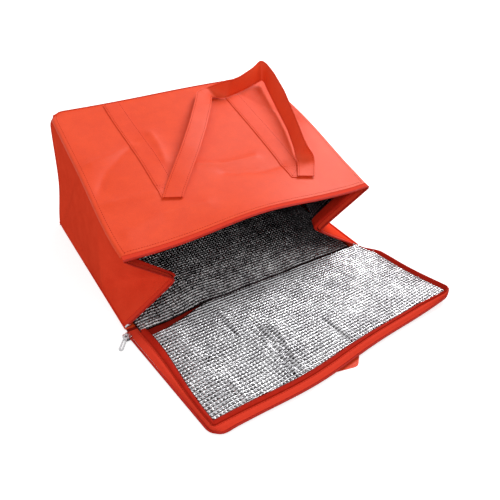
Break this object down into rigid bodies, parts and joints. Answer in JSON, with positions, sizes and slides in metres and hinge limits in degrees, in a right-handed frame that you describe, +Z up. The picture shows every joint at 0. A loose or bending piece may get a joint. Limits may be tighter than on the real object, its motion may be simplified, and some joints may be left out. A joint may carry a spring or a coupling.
{
  "type": "insulated shopping bag",
  "caption": "Soft red insulated shopping bag lying on its back, foil-lined, with a zip lid folded open, folded gussets and two carrying loops.",
  "frame": {"origin": "on the floor under the middle of the whole object as it lies with its lid open", "axes": "+X across the bag, +Y from the open lid to the base, +Z up from the floor the bag lies on"},
  "size_m": [0.4004, 0.4558, 0.1922],
  "materials": {
    "shell_cloth": "matte red non-woven cloth",
    "strap_cloth": "matte red non-woven cloth, folded and stitched",
    "hem_cloth": "matte dark red non-woven cloth",
    "zip_tape": "matte woven tape",
    "zip_coil": "satin coil",
    "foil_lining": "bright foil on foam with small dimples",
    "base_board": "matte",
    "zip_metal": "plated"
  },
  "bodies": {
    "bag_body": {"back_panel": "shell_cloth", "base_panel": "shell_cloth", "left_gusset": "shell_cloth", "right_gusset": "shell_cloth", "base_board": "base_board", "base_lining": "foil_lining", "back_lining": "foil_lining", "left_gusset_lining": "foil_lining", "right_gusset_lining": "foil_lining", "left_mouth_hem": "hem_cloth", "right_mouth_hem": "hem_cloth", "left_mouth_zip_tape": "zip_tape", "right_mouth_zip_tape": "zip_tape", "left_mouth_zip_coil": "zip_coil", "right_mouth_zip_coil": "zip_coil", "left_zip_stop": "zip_metal", "right_zip_stop": "zip_metal", "hinge_strip": "hem_cloth", "back_strap_left": "strap_cloth", "back_strap_right": "strap_cloth"},
    "front_wall": {"front_panel": "shell_cloth", "front_lining": "foil_lining", "front_mouth_hem": "hem_cloth", "front_mouth_zip_tape": "zip_tape", "front_mouth_zip_coil": "zip_coil", "front_strap_left": "strap_cloth", "front_strap_right": "strap_cloth"},
    "lid": {"lid_panel": "shell_cloth", "lid_lining": "foil_lining", "lid_border_left": "shell_cloth", "lid_border_front": "shell_cloth", "lid_border_right": "shell_cloth", "lid_zip_tape": "zip_tape", "lid_zip_coil": "zip_coil"},
    "slider": {"zip_slider": "zip_metal"},
    "pull": {"zip_pull": "zip_metal"},
    "front_handle": {"front_handle_loop": "strap_cloth"},
    "back_handle": {"back_handle_loop": "strap_cloth"}
  },
  "joints": [
    {"name": "front_wall_swing", "type": "hinge", "parent": "bag_body", "child": "front_wall", "pos_m": [0.00215, 0.22655, 0.1713], "axis": [-1, 0, 0], "range_deg": [0, 13]},
    {"name": "lid_hinge", "type": "hinge", "parent": "bag_body", "child": "lid", "pos_m": [-0.00385, -0.04845, 0.01], "axis": [-0.9991, -0.03, -0.03], "range_deg": [0, 88]},
    {"name": "zip_slide", "type": "slide", "parent": "lid", "child": "slider", "axis": [0.108, -0.9942, 0], "range_m": [0, 0.14]},
    {"name": "pull_swing", "type": "hinge", "parent": "slider", "child": "pull", "pos_m": [-0.1843, -0.05455, 0.0066], "axis": [-0.7547, 0.6561, 0], "range_deg": [0, 90]},
    {"name": "front_handle_swing", "type": "hinge", "parent": "front_wall", "child": "front_handle", "pos_m": [0.00215, 0.01846, 0.11335], "axis": [0.9936, -0.1086, -0.031], "range_deg": [0, 105]},
    {"name": "back_handle_swing", "type": "hinge", "parent": "bag_body", "child": "back_handle", "pos_m": [-0.00685, 0.02055, 0], "axis": [1, 0, 0], "range_deg": [0, 170]}
  ]
}
